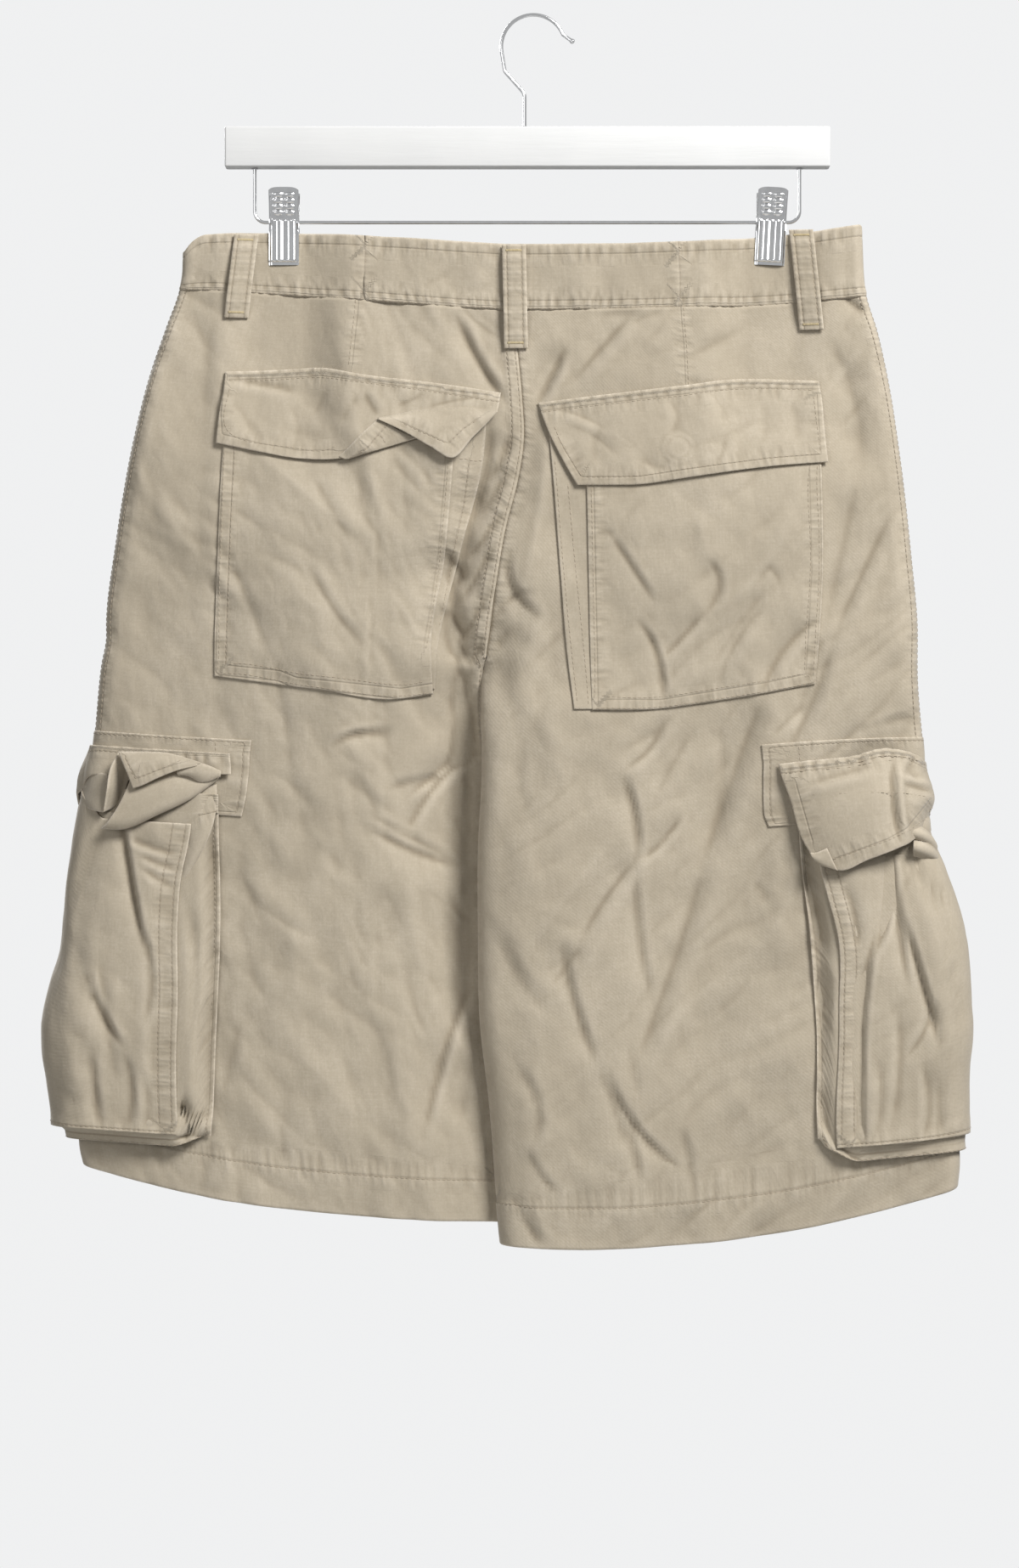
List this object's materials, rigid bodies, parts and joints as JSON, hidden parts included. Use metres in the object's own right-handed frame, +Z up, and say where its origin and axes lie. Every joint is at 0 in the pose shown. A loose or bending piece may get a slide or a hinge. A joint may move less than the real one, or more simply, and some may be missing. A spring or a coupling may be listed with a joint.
{
  "type": "cargo shorts on a clip hanger",
  "caption": "Washed khaki cargo shorts hanging by the waistband from a wooden clip hanger, seen from behind, with bellows side pockets and flapped back pockets.",
  "frame": {"origin": "seat of the hanger's hook, the inner top of its bend, where it hangs on a rail or knob", "axes": "+Z up; +X to the right as seen from behind the garment, which is the wearer's right; -Y the way the garment's back faces, +Y the way its fly faces"},
  "size_m": [0.5799, 0.0643, 0.7752],
  "materials": {
    "khaki_twill": "washed matt cotton twill",
    "button_resin": "semi-matt",
    "white_painted_wood": "satin white paint",
    "chrome": "polished"
  },
  "bodies": {
    "root": {"back_left_panel": "khaki_twill", "back_right_panel": "khaki_twill", "front_left_panel": "khaki_twill", "front_right_panel": "khaki_twill", "waistband_left": "khaki_twill", "waistband_back": "khaki_twill", "waistband_right": "khaki_twill", "belt_loop_centre": "khaki_twill", "belt_loop_back_left": "khaki_twill", "belt_loop_back_right": "khaki_twill", "belt_loop_front_left": "khaki_twill", "belt_loop_front_right": "khaki_twill", "fly_placket": "khaki_twill", "back_left_pocket": "khaki_twill", "back_left_flap": "khaki_twill", "back_right_pocket": "khaki_twill", "back_right_flap": "khaki_twill", "cargo_left_patch": "khaki_twill", "cargo_left_pocket": "khaki_twill", "cargo_left_flap": "khaki_twill", "cargo_right_patch": "khaki_twill", "cargo_right_pocket": "khaki_twill", "cargo_right_flap": "khaki_twill", "waist_button": "button_resin", "hanger_bar": "white_painted_wood", "hanger_hook": "chrome", "hanger_wire": "chrome", "clip_left_back_jaw": "chrome", "clip_left_front_jaw": "chrome", "clip_left_spring": "chrome", "clip_right_back_jaw": "chrome", "clip_right_front_jaw": "chrome", "clip_right_spring": "chrome"}
  },
  "joints": []
}
